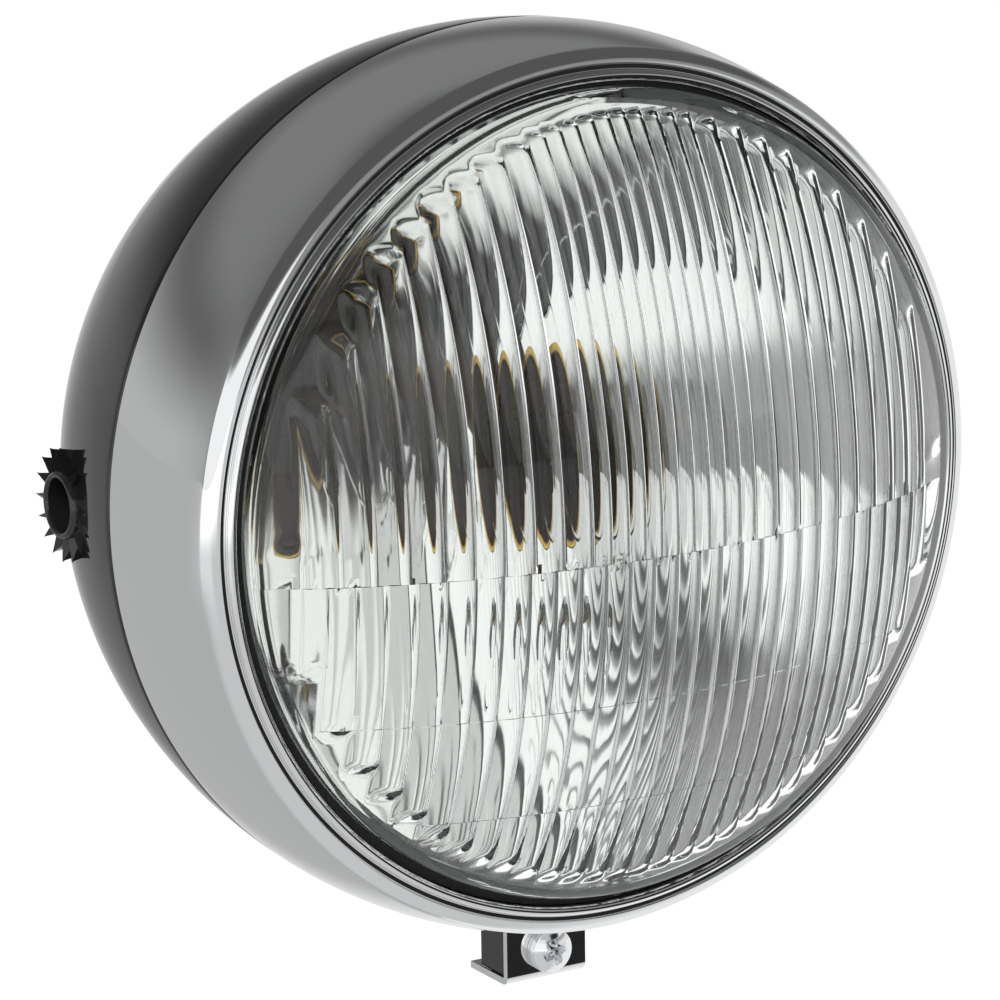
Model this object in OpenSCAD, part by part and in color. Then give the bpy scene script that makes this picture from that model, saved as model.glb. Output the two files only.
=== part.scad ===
// Round motorcycle headlight: a moulded bowl with toothed pivot bosses, a chromed trim ring
// and a sealed insert of fluted glass and reflector. Millimetres. The lamp looks along -Y,
// +Z is up, and the origin is the middle of the pivot axis.

/* [Lens] */
// Diameter of the glass
lens_d = 136; // [130:0.5:142]
// Radius of the glass dome, in front
dome_r = 120; // [112:1:135]
// How far the dome's edge lies ahead of the rim plane
dome_lead = 3.87; // [3:0.01:5]
// Thickness of the glass in the dome
glass_t = 4.5; // [3.5:0.1:5.2]
// Rounding of the glass edge
glass_edge_r = 3.5; // [2:0.1:4]
// Depth of the glass rim behind the rim plane
glass_seat = 2.4; // [1.8:0.1:2.6]
// Width of the plain border round the flutes
border_w = 5; // [4:0.1:7]
// Radius of the locating lug at the bottom
lug_r = 2.2; // [1.6:0.1:3]
// How far the lug stands out of the glass edge
lug_proud = 1.2; // [0.6:0.1:1.2]

/* [Flutes] */
// Pitch of the wide flutes at the sides
flute_wide = 4.8; // [4:0.1:6]
// Pitch of the fine flutes in the middle
flute_fine = 3.06; // [2.4:0.02:3.6]
// Number of fine flutes
fine_count = 10; // [6:2:14]
// Pitch of the flutes below the cut-off line
flute_low = 4.28; // [3.6:0.02:5.4]
// Depth of a flute
flute_depth = 0.45; // [0.2:0.05:0.55]
// Height of the cut-off line, below the middle
cutoff_z = 5.3; // [3:0.1:8]
// Height of the second line, below the middle
second_z = 29.4; // [24:0.1:34]
// Height of the third line, below the middle
third_z = 47.6; // [42:0.1:52]
// Step in the glass at each line
prism_step = 0.3; // [0.1:0.05:0.5]

/* [Trim ring] */
// Gap from the glass edge to the ring's bead
rim_gap = 1.4; // [1:0.1:2]
// Radius of the rolled bead
bead_r = 1.2; // [1:0.05:1.5]
// Rounding of the ring's front corner
corner_r = 3; // [2.4:0.1:4]
// Radius of the ring's swelling side, seen in section
flank_r = 82; // [70:1:120]
// Where the ring is widest, behind the rim plane
flank_y = 23; // [20:0.5:25]
// Depth of the ring
ring_depth = 28.2; // [27:0.1:30]
// Thickness of the ring's sheet
ring_t = 0.7; // [0.5:0.05:0.8]

/* [Housing] */
// Radius of the bowl's side, seen in section, as a share of its depth
side_share = 0.933; // [0.88:0.001:1.02]
// Depth of the bowl's back, behind the rim plane
bowl_depth = 104; // [98:1:108]
// Rounding where the bowl's side turns into its back, as a share of its depth
back_share = 0.346; // [0.3:0.001:0.38]
// Wall of the bowl
wall = 2.5; // [2:0.1:3]
// How far the bowl's spigot reaches into the ring
spigot_l = 6; // [5:0.5:7]
// Hole for the cable grommet
cable_hole_d = 14; // [12:0.5:18]

/* [Pivots] */
// Pivot axis, behind the rim plane
pivot_setback = 48.3; // [46:0.1:51]
// Hole in the boss
pivot_bore_d = 9; // [8.6:0.1:9.6]
// Diameter of the hub inside the teeth
hub_d = 11.6; // [11:0.1:12.4]
// How far the hub stands out of the bowl
hub_stand = 2.4; // [2.2:0.1:4]
// Number of teeth
tooth_count = 16; // [12:1:24]
// Diameter over the tooth tips
tooth_tip_d = 18.4; // [17:0.1:20]
// Diameter over the tooth roots
tooth_root_d = 14.6; // [13.6:0.1:15.4]
// Height of a tooth along the axis
tooth_h = 1.4; // [1:0.1:1.6]
// Slope of the crests, from tip to hub
crest_rise = 0.3; // [0.2:0.1:0.5]
// Across the flats of the pivot nuts
pivot_nut_af = 13; // [13:0.1:13.2]
// Thickness of the pivot nuts
pivot_nut_h = 6.5; // [6:0.1:7]
// Tapping diameter of the pivot nuts
pivot_thread_d = 6.8; // [6.6:0.1:7]

/* [Clamp] */
// Width of the bracket under the ring
bracket_w = 16; // [14:0.5:20]
// Sheet of the bracket
bracket_t = 1.2; // [1:0.1:1.5]
// Front face of the bracket, behind the rim plane
bracket_y = 20.8; // [19:0.1:22]
// Height of the bracket below the ring
bracket_h = 12; // [11:0.1:14]
// Length of the bracket's foot
foot_l = 12.4; // [10:0.1:14]
// Screw axis, below the ring
screw_drop = 6.4; // [6:0.1:7]
// Screw diameter
screw_d = 4; // [3.9:0.05:4]
// Screw head diameter
screw_head_d = 8; // [7.4:0.1:8.4]
// Screw head height
screw_head_h = 2.4; // [2:0.1:2.8]

/* [Reflector and bulbs] */
// Focal length of the reflector
focal = 25; // [23:0.5:27]
// Sheet of the reflector
reflector_t = 1; // [0.8:0.05:1.2]
// Diameter of the bulb hole
bulb_hole_d = 35; // [32:0.5:36]
// Diameter of the main bulb's glass
bulb_d = 24; // [20:0.5:26]
// Diameter of the main bulb's cap
bulb_cap_d = 20; // [18:0.5:21]
// Parking lamp, below the middle
parking_z = 31; // [29:0.5:34]
// Diameter of the parking bulb
parking_d = 8.8; // [8:0.1:9]

/* [Hidden] */
$fn = 96;

// General fits
seat_gap = 0.1;
part_gap = 0.3;
slip = 0.4;

// The insert sits a little high on its lug, and turned by under a degree
insert_lift = 0.4;
insert_turn = -0.8;

// Lens
lens_r = lens_d / 2;
dome_h = dome_r - sqrt(pow(dome_r, 2) - pow(lens_r, 2)) + dome_lead;
dome_y = dome_r - dome_h;
rear_r = dome_r - glass_t;
edge_c = [lens_r - glass_edge_r,
    dome_y - sqrt(pow(dome_r - glass_edge_r, 2) - pow(lens_r - glass_edge_r, 2))];
edge_a = atan2(edge_c[1] - dome_y, edge_c[0]);
field_r = lens_r - border_w;
skirt_w = 3.3;

// Trim ring: bead, front corner and swelling flank, in section
lip_r = lens_r + rim_gap;
bead_c = [lip_r + bead_r, 0];
corner_c = [lip_r + 2 * bead_r + 0.1, corner_r - 0.2];
flank_c = [corner_c[0] - sqrt(pow(flank_r - corner_r, 2) - pow(flank_y - corner_c[1], 2)),
    flank_y];
corner_a = atan2(corner_c[1] - flank_c[1], corner_c[0] - flank_c[0]);
rear_a = asin((ring_depth - flank_y) / flank_r);
ring_r = flank_c[0] + flank_r;
hem_y = 3;

// Insert stack behind the glass
seal_t = 1.5;
flange_y = glass_seat + seal_t;
flange_r = lip_r + 3.2;
flange_t = 0.8;
apex_y = flange_y + pow(lens_r - skirt_w - 1, 2) / (4 * focal);
dish_r = lens_r - skirt_w - 1;
bulb_hole_r = bulb_hole_d / 2;
hole_y = dish_y(bulb_hole_r);
neck_t = 0.8;
neck_y = hole_y + 5;
cap_l = 9;
cap_flange = 4.5;
collar_t = 1.2;

// Housing
bowl_r = bowl_depth * side_share;
back_edge_r = bowl_depth * back_share;
mouth_y = ring_depth + part_gap;
bowl_c = [ring_r - 0.1 - bowl_r, flank_y + 1.8];
back_a = asin((bowl_depth - back_edge_r - bowl_c[1]) / (bowl_r - back_edge_r));
back_c = bowl_c + (bowl_r - back_edge_r) * [cos(back_a), sin(back_a)];
spigot_r = flank_inner(ring_depth - spigot_l) - slip;
step_r = 1.2;

// Pivots: levels along the pivot axis
boss_x = bowl_c[0] + sqrt(pow(bowl_r, 2) - pow(pivot_setback - bowl_c[1], 2));
hub_x = boss_x + hub_stand;
tooth_seat = 1;
crest_in = hub_x - 0.1;
crest_out = crest_in - crest_rise;
root_in = crest_in - tooth_h;
root_out = crest_out - tooth_h;
boss_r = 10.5;
tooth_turn = 3;
seat_x = boss_x + 0.2;
nut_face_x = boss_x - 5;
boss_in_x = nut_face_x - pivot_nut_h - 0.5;

// Clamp
clamp_z = ring_r + screw_drop;
foot_z = ring_r + bracket_h;
block_y = bracket_y + bracket_t + seat_gap;
block_l = 7;
block_w = bracket_w - 1;
block_z = foot_z - bracket_t - seat_gap;
nut_af = 7;
nut_h = 3.2;
washer_t = 1;

// Points on an arc about c, and the reflector's and the ring's curves
function arc(c, r, a0, a1, n = 12) =
    [for (i = [0:n]) let (a = a0 + (a1 - a0) * i / n) c + r * [cos(a), sin(a)]];
function reversed(p) = [for (i = [len(p) - 1:-1:0]) p[i]];
function dish_y(r) = apex_y - r * r / (4 * focal);
function flank_inner(y) = flank_c[0] + sqrt(pow(flank_r - ring_t, 2) - pow(y - flank_y, 2));
function flank_angle(y) = asin((y - flank_y) / flank_r);

// A section with its depth behind the rim plane upwards, turned about the lamp's axis
module turned() {
    translate([0, -pivot_setback, 0])
        rotate([-90, 0, 0])
            rotate_extrude()
                children();
}

// The same, over a short sector at the top or bottom
module turned_sector(angle, middle) {
    translate([0, -pivot_setback, 0])
        rotate([0, -middle, 0])
            rotate([-90, 0, 0])
                rotate_extrude(angle = angle, start = -angle / 2)
                    children();
}

// A round bar along the lamp's axis, from depth y0 to y1
module axial(d, y0, y1, x = 0, z = 0) {
    translate([x, y0 - pivot_setback, z])
        rotate([-90, 0, 0])
            cylinder(d = d, h = y1 - y0);
}

// The insert's place in the ring
module in_ring() {
    translate([0, 0, insert_lift])
        rotate([0, insert_turn, 0])
            children();
}

module both_sides() {
    children();
    mirror([1, 0, 0])
        children();
}

// Saw-shaped bevel teeth round the hub: crests slope down to the tips, and both the outline
// and the height drop at each flank
module tooth_crown() {
    root_r = tooth_root_d / 2;
    tip_r = tooth_tip_d / 2;
    in_r = hub_d / 2 - 0.5;
    base = boss_x - tooth_seat;
    n = tooth_count;
    columns = [for (k = [0:n - 1]) let (a = 360 * k / n + tooth_turn, u = [cos(a), sin(a)]) each [
        [in_r * u[0], in_r * u[1], base],
        [in_r * u[0], in_r * u[1], root_in],
        [in_r * u[0], in_r * u[1], crest_in],
        [root_r * u[0], root_r * u[1], base],
        [tip_r * u[0], tip_r * u[1], base],
        [root_r * u[0], root_r * u[1], root_out],
        [tip_r * u[0], tip_r * u[1], crest_out]]];
    walls = [for (k = [0:n - 1]) let (a = 7 * k, b = 7 * ((k + 1) % n)) each [
        [a, a + 3, b + 4], [a, b + 4, b + 3], [a, b + 3, b],
        [a + 1, b + 2, a + 5], [b + 2, b + 6, a + 5],
        [a, b, b + 1], [a, b + 1, a + 1], [a + 1, b + 1, b + 2],
        [a + 3, a + 5, b + 6], [a + 3, b + 6, b + 4],
        [a + 3, a + 4, a + 6], [a + 5, a + 3, a + 6],
        [a + 5, a + 6, a + 2], [a + 1, a + 5, a + 2]]];
    rotate([0, 90, 0])
        polyhedron(points = columns, faces = walls);
}

// Outline of the bowl's side and back, at a depth t inside its outer face
function bowl_path(t) = concat(
    arc(bowl_c, bowl_r - t, asin((mouth_y + step_r - bowl_c[1]) / bowl_r), back_a, 18),
    arc(back_c, back_edge_r - t, back_a, 90, 12));

module bowl_wall() {
    mouth_r = bowl_path(0)[0][0];
    turned()
        polygon(concat(
            [[spigot_r - wall, mouth_y - spigot_l], [spigot_r, mouth_y - spigot_l],
                [spigot_r, mouth_y]],
            arc([mouth_r - step_r, mouth_y + step_r], step_r, -90, 0, 6),
            bowl_path(0),
            [[0, bowl_depth], [0, bowl_depth - wall]],
            reversed(bowl_path(wall)),
            [[spigot_r - wall, mouth_y + step_r + 1]]));
}

// Block under the bowl that the screw clamps the ring to
module clamp_block() {
    top_z = spigot_r - wall;
    difference() {
        union() {
            translate([-block_w / 2, block_y - pivot_setback, -block_z])
                cube([block_w, block_l, block_z - top_z]);
            translate([-block_w / 2, mouth_y - spigot_l - pivot_setback, -spigot_r])
                cube([block_w, block_y + block_l - mouth_y + spigot_l, spigot_r - top_z]);
        }
        axial(screw_d + 2 * slip, block_y - 1, block_y + block_l + 1, z = -clamp_z);
        translate([0, block_y + block_l - nut_h - pivot_setback, -clamp_z])
            rotate([-90, 0, 0])
                rotate([0, 0, 30])
                    cylinder(d = (nut_af + slip) / cos(30), h = nut_h + 1, $fn = 6);
    }
}

module housing() {
    color([0.03, 0.03, 0.03])
        difference() {
            union() {
                difference() {
                    bowl_wall();
                    both_sides()
                        rotate([0, 90, 0])
                            translate([0, 0, seat_x])
                                cylinder(d = tooth_tip_d + 2, h = 10);
                }
                clamp_block();
                both_sides() {
                    intersection() {
                        rotate([0, 90, 0])
                            translate([0, 0, boss_in_x])
                                cylinder(r = boss_r, h = boss_x - boss_in_x);
                        turned()
                            polygon(concat([[0, mouth_y + step_r]], bowl_path(wall / 2),
                                [[0, bowl_depth - wall / 2]]));
                    }
                    rotate([0, 90, 0]) {
                        translate([0, 0, boss_x - 4])
                            cylinder(d = tooth_root_d - 0.6, h = 4 + seat_x - boss_x);
                        translate([0, 0, boss_x - 2])
                            cylinder(d = hub_d, h = hub_stand + 2);
                    }
                    tooth_crown();
                }
            }
            both_sides()
                rotate([0, 90, 0]) {
                    translate([0, 0, boss_in_x - 1])
                        cylinder(d = pivot_bore_d, h = hub_x - boss_in_x + 2);
                    translate([0, 0, boss_in_x - 1])
                        cylinder(d = (pivot_nut_af + slip) / cos(30),
                            h = nut_face_x - boss_in_x + 1, $fn = 6);
                }
            axial(cable_hole_d, bowl_depth - wall - 1, bowl_depth + 1);
        }
}

// Drawn sheet: rolled bead round the glass, front corner and swelling side
module trim_ring() {
    notch_w = bracket_w + 1.2;
    color([0.85, 0.86, 0.87])
        difference() {
            turned()
                polygon(concat(
                    [[lip_r, hem_y]],
                    arc(bead_c, bead_r, 180, 355, 14),
                    arc(corner_c, corner_r, 270, 360 + corner_a, 8),
                    arc(flank_c, flank_r, corner_a, rear_a, 14),
                    reversed(arc(flank_c, flank_r - ring_t, corner_a, rear_a, 14)),
                    reversed(arc(corner_c, corner_r - ring_t, 270, 360 + corner_a, 8)),
                    reversed(arc(bead_c, bead_r - ring_t, 180, 355, 8)),
                    [[lip_r + ring_t, hem_y]]));
            translate([-notch_w / 2, bracket_y - seat_gap - pivot_setback, -ring_r - 2])
                cube([notch_w, ring_depth, 6]);
        }
}

// Folded angle: a tab welded inside the ring, the front plate and the foot
module ring_bracket() {
    tab_l = 9;
    tab_a = 11;
    tab_gap = 0.05;
    bend_r = 1.5;
    tab_r = flank_r - ring_t - tab_gap;
    a0 = flank_angle(bracket_y - tab_l);
    a1 = flank_angle(bracket_y + bracket_t);
    color([0.8, 0.81, 0.82])
        difference() {
            union() {
                turned_sector(tab_a, -90)
                    polygon(concat(arc(flank_c, tab_r, a0, a1, 6),
                        reversed(arc(flank_c, tab_r - bracket_t, a0, a1, 6))));
                translate([-bracket_w / 2, bracket_y - pivot_setback, -foot_z + bend_r])
                    cube([bracket_w, bracket_t, foot_z - bend_r - ring_r + ring_t + 0.5]);
                translate([-bracket_w / 2, bracket_y + bend_r - pivot_setback, -foot_z])
                    cube([bracket_w, foot_l - bend_r, bracket_t]);
                translate([-bracket_w / 2, bracket_y + bend_r - pivot_setback, bend_r - foot_z])
                    rotate([0, 90, 0])
                        intersection() {
                            difference() {
                                cylinder(r = bend_r, h = bracket_w);
                                translate([0, 0, -1])
                                    cylinder(r = bend_r - bracket_t, h = bracket_w + 2);
                            }
                            translate([0, -2 * bend_r, -1])
                                cube([2 * bend_r, 2 * bend_r, bracket_w + 2]);
                        }
            }
            axial(screw_d + slip, bracket_y - 1, bracket_y + bracket_t + 1, z = -clamp_z);
        }
}

// Tab inside the ring at the top, hooked behind the bowl's spigot
module ring_hook() {
    hook_t = 1;
    tab_gap = 0.05;
    reach = 5;
    front = mouth_y - spigot_l - part_gap - hook_t;
    tab_r = flank_r - ring_t - tab_gap;
    a0 = flank_angle(front - 8);
    a1 = flank_angle(front + hook_t);
    top_r = flank_inner(front) - tab_gap - 0.2;
    low_r = spigot_r - wall - reach + 2;
    color([0.7, 0.7, 0.7])
        union() {
            turned_sector(10, 90)
                polygon(concat(arc(flank_c, tab_r, a0, a1, 6),
                    reversed(arc(flank_c, tab_r - hook_t, a0, a1, 6))));
            turned_sector(10, 90)
                polygon([[low_r, front], [top_r, front], [top_r, front + hook_t],
                    [low_r + hook_t, front + hook_t],
                    [low_r + hook_t, front + hook_t + reach],
                    [low_r, front + hook_t + reach]]);
        }
}

// Pan head screw with a cross recess
module clamp_screw() {
    head_y = bracket_y - washer_t - seat_gap;
    crown_r = 8.2;
    recess_d = 3.4;
    recess_w = 0.9;
    recess_h = 1.5;
    tip_y = block_y + block_l + 2;
    color([0.82, 0.82, 0.84])
        difference() {
            union() {
                axial(screw_d, head_y - 0.5, tip_y, z = -clamp_z);
                intersection() {
                    axial(screw_head_d, head_y - screw_head_h, head_y, z = -clamp_z);
                    translate([0, head_y - screw_head_h + crown_r - pivot_setback, -clamp_z])
                        sphere(r = crown_r);
                }
            }
            translate([0, head_y - screw_head_h - pivot_setback, -clamp_z])
                for (turn = [20, 110])
                    rotate([0, turn, 0])
                        translate([-recess_d / 2, -0.5, -recess_w / 2])
                            cube([recess_d, recess_h + 0.5, recess_w]);
        }
}

module spring_washer() {
    outer_d = 8;
    inner_d = screw_d + 0.3;
    color([0.75, 0.75, 0.77])
        difference() {
            axial(outer_d, bracket_y - washer_t - seat_gap / 2, bracket_y - seat_gap / 2,
                z = -clamp_z);
            axial(inner_d, bracket_y - washer_t - 1, bracket_y + 1, z = -clamp_z);
            translate([0, bracket_y - pivot_setback, -clamp_z])
                rotate([0, 50, 0])
                    translate([-0.35, -2 * washer_t, 0])
                        rotate([12, 0, 0])
                            cube([0.7, 3 * washer_t, outer_d]);
        }
}

module clamp_nut() {
    color([0.7, 0.7, 0.72])
        difference() {
            translate([0, block_y + block_l - nut_h + 0.1 - pivot_setback, -clamp_z])
                rotate([-90, 0, 0])
                    rotate([0, 0, 30])
                        cylinder(d = nut_af / cos(30), h = nut_h, $fn = 6);
            axial(screw_d + 0.1, block_y, block_y + block_l + 2, z = -clamp_z);
        }
}

// Black rubber round the glass: a collar under the bead and a flange behind it
module rim_gasket() {
    front = 0.4;
    flange_t0 = hem_y + seat_gap;
    color([0.05, 0.05, 0.05])
        difference() {
            union() {
                axial(2 * (lip_r - seat_gap), front, flange_y);
                axial(2 * flange_r, flange_t0, flange_y - seat_gap);
            }
            in_ring()
                axial(2 * (lens_r + seat_gap), front - 1, flange_y + 1);
            in_ring()
                axial(2 * (lug_r + seat_gap), front - 1, flange_y + 1,
                    z = lug_r - lens_r - lug_proud);
        }
}

// Edges of the flutes, as distances from the middle
function fine_half() = fine_count * flute_fine / 2;
function wide_count() = floor((field_r - fine_half()) / flute_wide);
function low_count() = floor(field_r / flute_low);
function upper_edges() = concat(
    [for (i = [wide_count():-1:1]) -fine_half() - i * flute_wide],
    [for (i = [0:fine_count]) i * flute_fine - fine_half()],
    [for (i = [1:wide_count()]) fine_half() + i * flute_wide]);
function lower_edges() = [for (i = [-low_count():low_count()]) i * flute_low];

// Half the height of the field at each flute, so that its outline runs in steps
function reach(edges, i) = sqrt(pow(field_r, 2) - pow(max(abs(edges[i]), abs(edges[i + 1])), 2));

// One level band of the fluted field, from height z0 to z1: a body turned about a level
// axis through the dome's centre, hollowed at each flute, inside the band's outline
module flute_band(edges, step, z0, z1) {
    n = len(edges) - 1;
    cover = rear_r - step;
    crests = [for (i = [0:n]) sqrt(pow(cover, 2) - pow(edges[i], 2)) - flute_depth];
    hollows = [for (i = [0:n - 1]) let (x = (edges[i] + edges[i + 1]) / 2)
        [sqrt(pow(cover, 2) - x * x), x]];
    used = [for (i = [0:n - 1]) if (reach(edges, i) > max(z0, -z1) + 0.5) i];
    tops = [for (i = used) each [[edges[i], min(z1, reach(edges, i))],
        [edges[i + 1], min(z1, reach(edges, i))]]];
    floors = [for (i = used) each [[edges[i], max(z0, -reach(edges, i))],
        [edges[i + 1], max(z0, -reach(edges, i))]]];
    translate([0, dome_y - pivot_setback, 0])
        intersection() {
            rotate([0, 90, 0])
                rotate_extrude()
                    polygon(concat([[0, edges[0]]],
                        [for (i = [0:n - 1]) each [[crests[i], edges[i]], hollows[i]]],
                        [[crests[n], edges[n]], [0, edges[n]]]));
            rotate([90, 0, 0])
                translate([0, 0, 1])
                    linear_extrude(height = dome_r)
                        polygon(concat(tops, reversed(floors)));
        }
}

// The dome inside a rounded rim, which stands a hair outside it where they meet
module glass_blank() {
    hair = 0.05;
    out = [cos(edge_a), sin(edge_a)];
    along = [sin(edge_a), -cos(edge_a)];
    c = edge_c + hair * out;
    shoulder = c + glass_edge_r * out + 6 * along;
    intersection() {
        translate([0, dome_y - pivot_setback, 0])
            sphere(r = dome_r, $fn = 288);
        turned()
            polygon(concat(
                [[0, -dome_h - 1], [shoulder[0], -dome_h - 1], shoulder],
                arc(c, glass_edge_r, edge_a, 0, 6),
                [[c[0] + glass_edge_r, glass_seat], [0, glass_seat]]));
    }
}

module lens() {
    plain_r = rear_r - 1.2;
    plain = [for (r = [field_r - 7, field_r - 3, field_r + 0.5])
        [r, dome_y - sqrt(pow(plain_r, 2) - r * r)]];
    color([0.85, 0.88, 0.87, 0.4])
        in_ring()
            difference() {
                union() {
                    glass_blank();
                    axial(2 * lug_r, edge_c[1], glass_seat, z = lug_r - lens_r - lug_proud);
                }
                turned()
                    polygon(concat([[0, plain[0][1]]], plain,
                        [[lens_r - skirt_w, glass_seat + 1], [0, glass_seat + 1]]));
                flute_band(upper_edges(), 0, -cutoff_z, field_r);
                flute_band(lower_edges(), prism_step, -second_z, -cutoff_z);
                flute_band(lower_edges(), 0, -third_z, -second_z);
                flute_band(lower_edges(), prism_step, -field_r, -third_z);
            }
}

module lens_seal() {
    color([0.2, 0.2, 0.2])
        in_ring()
            difference() {
                axial(2 * lens_r - 1, glass_seat, flange_y);
                axial(2 * (lens_r - skirt_w + 0.3), glass_seat - 1, flange_y + 1);
            }
}

// Paraboloid with a flange in front and a neck behind, and a hole for the parking lamp
module reflector() {
    n = 24;
    face = [for (i = [0:n]) let (r = dish_r + (bulb_hole_r - dish_r) * i / n) [r, dish_y(r)]];
    back = [for (p = reversed(face)) [p[0] + 0.3, p[1] + reflector_t]];
    color([0.9, 0.9, 0.9])
        in_ring()
            difference() {
                turned()
                    polygon(concat(
                        [[flange_r, flange_y + flange_t], [flange_r, flange_y]],
                        face,
                        [[bulb_hole_r, neck_y], [bulb_hole_r + neck_t, neck_y]],
                        [for (p = back) if (p[0] > bulb_hole_r + neck_t
                            && p[1] > flange_y + flange_t) p]));
                axial(parking_d + 4, dish_y(parking_z) - 8, dish_y(parking_z) + 10,
                    z = -parking_z);
            }
}

// Leaf springs between the ring's side and the reflector's flange
module insert_clips() {
    clip_t = 0.8;
    clip_a = 7;
    seat_y = flange_y + flange_t;
    out_y = seat_y + 7;
    color([0.6, 0.6, 0.62])
        for (k = [0:5])
            turned_sector(clip_a, 60 * k)
                polygon([[flange_r - 3, seat_y + 0.8], [flange_r - 3, seat_y],
                    [flange_r - 1, seat_y], [flank_inner(out_y) - 0.2, out_y - 2],
                    [flank_inner(out_y) - 0.2, out_y + 2],
                    [flank_inner(out_y) - 0.2 - clip_t, out_y + 2],
                    [flank_inner(out_y) - 0.2 - clip_t, out_y - 1.7],
                    [flange_r - 1.3, seat_y + clip_t]]);
}

// Collar in the reflector's neck
module bulb_collar() {
    out_r = bulb_hole_r - seat_gap;
    in_r = bulb_cap_d / 2 + cap_flange + seat_gap;
    color([0.75, 0.6, 0.25])
        in_ring()
            turned()
                polygon([[in_r, hole_y + 1.5], [out_r, hole_y + 0.5], [out_r, neck_y + seat_gap],
                    [out_r + 4, neck_y + seat_gap], [out_r + 4, neck_y + collar_t],
                    [in_r, neck_y + collar_t]]);
}

// Glass envelope of the main bulb
module main_bulb() {
    glass = 0.8;
    ball_y = apex_y - focal + 4;
    r = bulb_d / 2;
    neck_r = bulb_cap_d / 2 - 2;
    neck_a = acos(neck_r / r);
    end_y = hole_y + 1;
    color([0.9, 0.9, 0.9, 0.4])
        in_ring()
            turned()
                polygon(concat(
                    arc([0, ball_y], r, -90, neck_a, 20),
                    [[neck_r, end_y], [neck_r - glass, end_y]],
                    reversed(arc([0, ball_y], r - glass, -90, neck_a, 20))));
}

// Pinched glass stem with the posts and the filament shield
module bulb_stem() {
    ball_y = apex_y - focal + 4;
    end_y = hole_y + 1;
    neck_r = bulb_cap_d / 2 - 2;
    color([0.6, 0.6, 0.55])
        in_ring() {
            axial(2 * (neck_r - 1), end_y - 1, end_y + 0.9);
            axial(7, ball_y + 3, end_y);
            for (x = [-2, 0, 2])
                axial(0.8, ball_y - 5, ball_y + 4, x = x);
            axial(5, ball_y - 6, ball_y - 4.5);
        }
}

// Metal cap of the main bulb with its seating flange
module bulb_cap() {
    color([0.6, 0.55, 0.4])
        in_ring()
            difference() {
                union() {
                    axial(bulb_cap_d, hole_y + 1, neck_y + cap_l);
                    axial(bulb_cap_d + 2 * cap_flange, hole_y + 2, neck_y + 1);
                }
                axial(bulb_cap_d - 3, hole_y, hole_y + 2);
            }
}

// Moulded contact holder behind the bulb
module bulb_socket() {
    front = neck_y + cap_l + seat_gap;
    color([0.12, 0.1, 0.09])
        in_ring()
            difference() {
                union() {
                    axial(bulb_cap_d + 7, front - 6, front + 2);
                    axial(bulb_cap_d - 1, front + 1, front + 9);
                }
                axial(bulb_cap_d + 2 * slip, front - 7, front - seat_gap);
                for (a = [90, 210, 330])
                    translate([6 * cos(a), 0, 6 * sin(a)])
                        translate([-3.4, front - pivot_setback + 2, -0.6])
                            cube([6.8, 8, 1.2]);
            }
}

module socket_contacts() {
    front = neck_y + cap_l + seat_gap;
    color([0.72, 0.6, 0.3])
        in_ring()
            for (a = [90, 210, 330])
                translate([6 * cos(a), 0, 6 * sin(a)])
                    translate([-3.15, front - pivot_setback + 2 + seat_gap, -0.4])
                        cube([6.3, 13, 0.8]);
}

// Sprung ring that presses the holder to the collar
module bulb_retainer() {
    front = neck_y + collar_t + seat_gap;
    in_r = bulb_cap_d / 2 + 3.5 + 0.3;
    out_r = bulb_hole_r + 3;
    color([0.65, 0.65, 0.67])
        in_ring()
            turned()
                polygon([[in_r, front + 1], [out_r, front], [out_r, front + 0.8],
                    [in_r + 1.2, front + 1.9], [in_r + 1.2, front + 8],
                    [in_r, front + 8]]);
}

module parking_bulb() {
    y = dish_y(parking_z);
    color([0.9, 0.9, 0.9, 0.4])
        in_ring()
            union() {
                axial(parking_d, y - 8, y, z = -parking_z);
                translate([0, y - 8 - pivot_setback, -parking_z])
                    sphere(d = parking_d);
                axial(parking_d - 1, y - 1, y + 1, z = -parking_z);
            }
}

module parking_bulb_cap() {
    y = dish_y(parking_z);
    color([0.72, 0.6, 0.3])
        in_ring()
            difference() {
                axial(parking_d + 0.4, y + 0.2, y + 12, z = -parking_z);
                axial(parking_d - 0.8, y - 1, y + 1.2, z = -parking_z);
            }
}

// Sleeve of the parking lamp, pushed into the reflector's hole
module parking_holder() {
    y = dish_y(parking_z);
    in_d = parking_d + 0.4 + 0.2;
    color([0.6, 0.6, 0.6])
        in_ring()
            difference() {
                union() {
                    axial(parking_d + 3.6, y - 2, y + 14, z = -parking_z);
                    axial(parking_d + 8, y + 8, y + 9.2, z = -parking_z);
                }
                axial(in_d, y - 3, y + 12.1, z = -parking_z);
            }
}

// Captive nuts behind the bosses
module pivot_nuts() {
    color([0.7, 0.7, 0.72])
        both_sides()
            rotate([0, 90, 0])
                translate([0, 0, nut_face_x - seat_gap - pivot_nut_h])
                    difference() {
                        cylinder(d = pivot_nut_af / cos(30), h = pivot_nut_h, $fn = 6);
                        translate([0, 0, -1])
                            cylinder(d = pivot_thread_d, h = pivot_nut_h + 2);
                    }
}

// Rubber grommet in the bowl's back, with a bore for the cable
module cable_grommet() {
    groove_r = cable_hole_d / 2 - seat_gap;
    lip = 2.5;
    bore_r = 3.5;
    color([0.06, 0.06, 0.06])
        turned()
            polygon([[bore_r, bowl_depth - wall - 2.5],
                [groove_r + lip - 0.5, bowl_depth - wall - 2.5],
                [groove_r + lip, bowl_depth - wall - seat_gap],
                [groove_r, bowl_depth - wall - seat_gap], [groove_r, bowl_depth + seat_gap],
                [groove_r + lip, bowl_depth + seat_gap],
                [groove_r + lip - 0.8, bowl_depth + 2.5],
                [bore_r + 1.6, bowl_depth + 8], [bore_r, bowl_depth + 8]]);
}

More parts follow.
